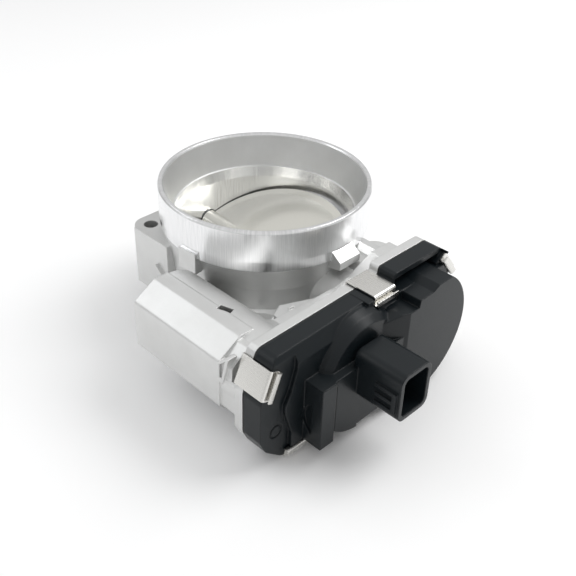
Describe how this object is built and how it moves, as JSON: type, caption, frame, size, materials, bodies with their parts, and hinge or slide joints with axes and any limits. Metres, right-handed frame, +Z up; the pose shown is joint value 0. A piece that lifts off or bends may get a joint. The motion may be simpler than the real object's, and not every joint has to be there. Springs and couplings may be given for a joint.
{
  "type": "electronic throttle body",
  "caption": "Motor-driven throttle body: a cast body with a round inlet collar and a butterfly plate, a side gear case under a clipped black cover, and a motor barrel alongside.",
  "frame": {"origin": "where the bore axis crosses the manifold flange face", "axes": "+Z up the bore towards the inlet collar, +X along the throttle shaft towards the gear cover, and the motor barrel on the -Y side"},
  "size_m": [0.18, 0.1356, 0.072],
  "materials": {
    "cast_aluminium": "as-cast, fine grain, bores and collar machined",
    "machined_plate": "machined and polished",
    "steel": "ground and plated",
    "stainless": "spring temper, satin",
    "black_plastic": "glass-filled nylon, satin",
    "gear_plastic": "natural moulded nylon",
    "sleeve_plastic": "moulded",
    "rubber": "moulded",
    "magnet": "sintered",
    "brass": "stamped and turned",
    "copper": "copper, enamelled or turned",
    "core_steel": "stacked laminations",
    "carbon": "pressed carbon",
    "board": "solder-masked circuit board"
  },
  "bodies": {
    "housing": {"throttle_housing": "cast_aluminium", "needle_bearing": "steel", "bearing_outer": "steel", "bearing_balls": "steel", "shaft_plug": "steel", "return_spring": "steel", "intermediate_pin": "steel", "motor_screws": "steel", "wave_washer": "steel", "stop_screw": "steel", "motor_plate": "steel", "motor_can": "steel", "cover_clips": "stainless", "gear_cover": "black_plastic", "motor_end_cap": "sleeve_plastic", "shaft_seals": "rubber", "cover_gasket": "rubber", "motor_magnets": "magnet", "motor_bushings": "brass", "motor_terminals": "brass", "connector_pins": "brass", "motor_brushes": "carbon", "position_sensor": "board"},
    "throttle": {"throttle_shaft": "steel", "throttle_plate": "machined_plate", "plate_screws": "steel", "bearing_inner": "steel", "shaft_ring": "steel", "sector_gear": "gear_plastic", "gear_insert": "steel", "spring_sleeve": "sleeve_plastic", "sensor_magnet": "magnet"},
    "intermediate": {"intermediate_gear": "gear_plastic"},
    "rotor": {"motor_shaft": "steel", "motor_pinion": "brass", "armature_core": "core_steel", "armature_windings": "copper", "commutator": "copper"}
  },
  "joints": [
    {"name": "throttle_pivot", "type": "hinge", "parent": "housing", "child": "throttle", "pos_m": [0, 0, 0.017], "axis": [1, 0, 0], "range_deg": [-12, 68], "stiffness_Nm_per_rad": 0.15, "deforming": ["return_spring"]},
    {"name": "intermediate_spin", "type": "hinge", "parent": "housing", "child": "intermediate", "pos_m": [0, -0.0375, 0.017], "axis": [1, 0, 0], "range_deg": [-121.5, 22]},
    {"name": "motor_spin", "type": "hinge", "parent": "housing", "child": "rotor", "pos_m": [0, -0.06579, 0.01948], "axis": [1, 0, 0], "range_deg": [-87.5, 493]}
  ],
  "couplings": [
    {"joint": "intermediate_spin", "follows": "throttle_pivot", "ratio": -1.7778},
    {"joint": "motor_spin", "follows": "throttle_pivot", "ratio": 7.2381}
  ]
}
